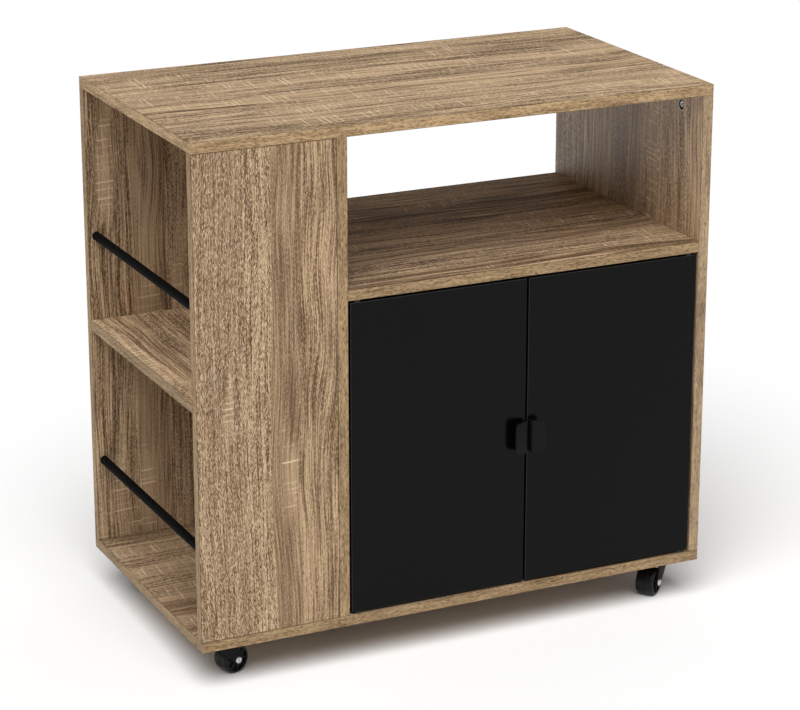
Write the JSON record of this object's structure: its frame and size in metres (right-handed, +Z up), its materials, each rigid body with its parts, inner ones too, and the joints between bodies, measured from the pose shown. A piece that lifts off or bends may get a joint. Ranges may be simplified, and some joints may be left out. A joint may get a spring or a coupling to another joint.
{
  "type": "kitchen trolley",
  "caption": "Oak-effect board trolley on swivel casters with an open end bay with rails, an open niche and black hinged doors.",
  "frame": {"origin": "on the floor, under the middle of the trolley's box, which includes the pulls", "axes": "+Z up, doors face -Y, open bay at the -X end"},
  "size_m": [0.75, 0.425, 0.74],
  "materials": {
    "oak_board": "sawn-oak melamine, satin",
    "black_board": "matte black melamine",
    "hardboard": "oak-printed thin fibreboard",
    "dowel_wood": "plain beech",
    "black_metal": "matte black powder coat",
    "zinc": "die-cast zinc",
    "steel": "zinc-plated steel",
    "rivet_steel": "bright rivet",
    "black_plastic": "black nylon",
    "caster_plastic": "black caster plastic"
  },
  "bodies": {
    "carcass": {"top_panel": "oak_board", "bottom_panel": "oak_board", "right_side_panel": "oak_board", "partition_panel": "oak_board", "bay_front_panel": "oak_board", "bay_back_panel": "oak_board", "bay_shelf": "oak_board", "niche_shelf": "oak_board", "cabinet_shelf": "oak_board", "cabinet_back_panel": "hardboard", "upper_rail": "black_metal", "lower_rail": "black_metal", "cam_locks": "zinc", "cam_bolts": "steel", "wood_dowels": "dowel_wood", "base_screws": "steel", "shelf_pins": "steel", "pivot_panel_bushes": "black_plastic", "catch_housing": "black_plastic", "catch_magnets": "steel", "catch_screws": "steel", "caster_screws": "steel", "front_left_caster_plate": "black_metal", "front_left_kingpin": "steel", "front_right_caster_plate": "black_metal", "front_right_kingpin": "steel", "rear_left_caster_plate": "black_metal", "rear_left_kingpin": "steel", "rear_right_caster_plate": "black_metal", "rear_right_kingpin": "steel"},
    "left_door": {"left_door": "black_board", "left_pull": "black_metal", "left_pull_screws": "steel", "left_door_bushes": "black_plastic", "left_pivot_pins": "steel", "left_strike_plate": "steel", "left_strike_screw": "steel"},
    "right_door": {"right_door": "black_board", "right_pull": "black_metal", "right_pull_screws": "steel", "right_door_bushes": "black_plastic", "right_pivot_pins": "steel", "right_strike_plate": "steel", "right_strike_screw": "steel"},
    "front_left_swivel": {"front_left_fork": "black_metal", "front_left_axle": "rivet_steel"},
    "front_left_wheel": {"front_left_wheel": "caster_plastic"},
    "front_right_swivel": {"front_right_fork": "black_metal", "front_right_axle": "rivet_steel"},
    "front_right_wheel": {"front_right_wheel": "caster_plastic"},
    "rear_left_swivel": {"rear_left_fork": "black_metal", "rear_left_axle": "rivet_steel"},
    "rear_left_wheel": {"rear_left_wheel": "caster_plastic"},
    "rear_right_swivel": {"rear_right_fork": "black_metal", "rear_right_axle": "rivet_steel"},
    "rear_right_wheel": {"rear_right_wheel": "caster_plastic"}
  },
  "joints": [
    {"name": "left_door_hinge", "type": "hinge", "parent": "carcass", "child": "left_door", "pos_m": [-0.14892, -0.19, 0.289], "axis": [0, 0, -1], "range_deg": [0, 110]},
    {"name": "right_door_hinge", "type": "hinge", "parent": "carcass", "child": "right_door", "pos_m": [0.34592, -0.19, 0.289], "axis": [0, 0, 1], "range_deg": [0, 110]},
    {"name": "front_left_swivel", "type": "hinge", "parent": "carcass", "child": "front_left_swivel", "pos_m": [-0.33, -0.1525, 0.04475], "axis": [0, 0, 1], "continuous": true},
    {"name": "front_left_roll", "type": "hinge", "parent": "front_left_swivel", "child": "front_left_wheel", "pos_m": [-0.3147, -0.14782, 0.02], "axis": [-0.2924, 0.9563, 0], "continuous": true},
    {"name": "front_right_swivel", "type": "hinge", "parent": "carcass", "child": "front_right_swivel", "pos_m": [0.33, -0.1525, 0.04475], "axis": [0, 0, 1], "continuous": true},
    {"name": "front_right_roll", "type": "hinge", "parent": "front_right_swivel", "child": "front_right_wheel", "pos_m": [0.31739, -0.16235, 0.02], "axis": [0.6157, -0.788, 0], "continuous": true},
    {"name": "rear_left_swivel", "type": "hinge", "parent": "carcass", "child": "rear_left_swivel", "pos_m": [-0.33, 0.1675, 0.04475], "axis": [0, 0, 1], "continuous": true},
    {"name": "rear_left_roll", "type": "hinge", "parent": "rear_left_swivel", "child": "rear_left_wheel", "pos_m": [-0.31774, 0.17778, 0.02], "axis": [-0.6428, 0.766, 0], "continuous": true},
    {"name": "rear_right_swivel", "type": "hinge", "parent": "carcass", "child": "rear_right_swivel", "pos_m": [0.33, 0.1675, 0.04475], "axis": [0, 0, 1], "continuous": true},
    {"name": "rear_right_roll", "type": "hinge", "parent": "rear_right_swivel", "child": "rear_right_wheel", "pos_m": [0.31614, 0.1755, 0.02], "axis": [-0.5, -0.866, 0], "continuous": true}
  ]
}
